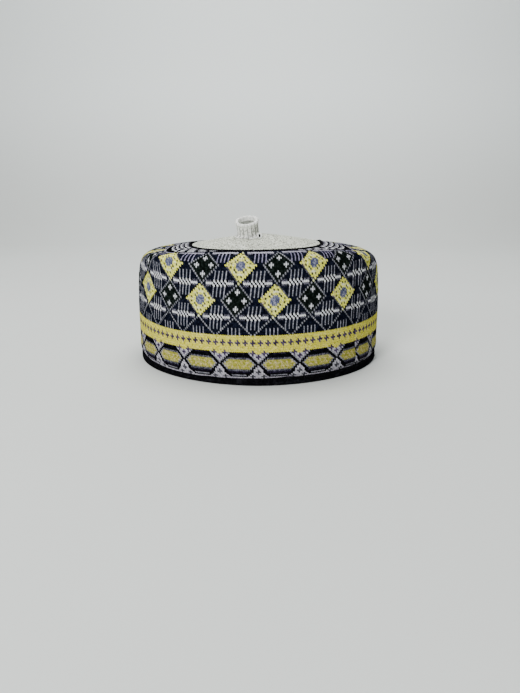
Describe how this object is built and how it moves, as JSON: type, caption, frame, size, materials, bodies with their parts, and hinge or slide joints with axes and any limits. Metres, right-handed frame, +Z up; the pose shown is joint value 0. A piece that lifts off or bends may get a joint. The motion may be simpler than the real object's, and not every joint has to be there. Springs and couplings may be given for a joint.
{
  "type": "hausa cap",
  "caption": "Brimless oval knitted cap with a geometric patterned wall, a rounded top ring, a pale domed crown and a short stalk.",
  "frame": {"origin": "middle of the rim's flat underside", "axes": "+X to the wearer's front, +Y to the wearer's left, +Z up through the crown"},
  "size_m": [0.212, 0.1844, 0.1225],
  "materials": {
    "patterned_knit": "matte jacquard knit in navy, yellow, lilac, white and black yarn",
    "black_yarn": "matte black yarn",
    "pale_knit": "matte coarse knit in warm white",
    "pale_rib": "matte ribbed knit in warm white",
    "black_binding": "matte black knitted tape"
  },
  "bodies": {
    "root": {"side_wall": "patterned_knit", "crown_welt": "black_yarn", "crown": "pale_knit", "stalk": "pale_rib", "rim_binding": "black_binding"}
  },
  "joints": []
}
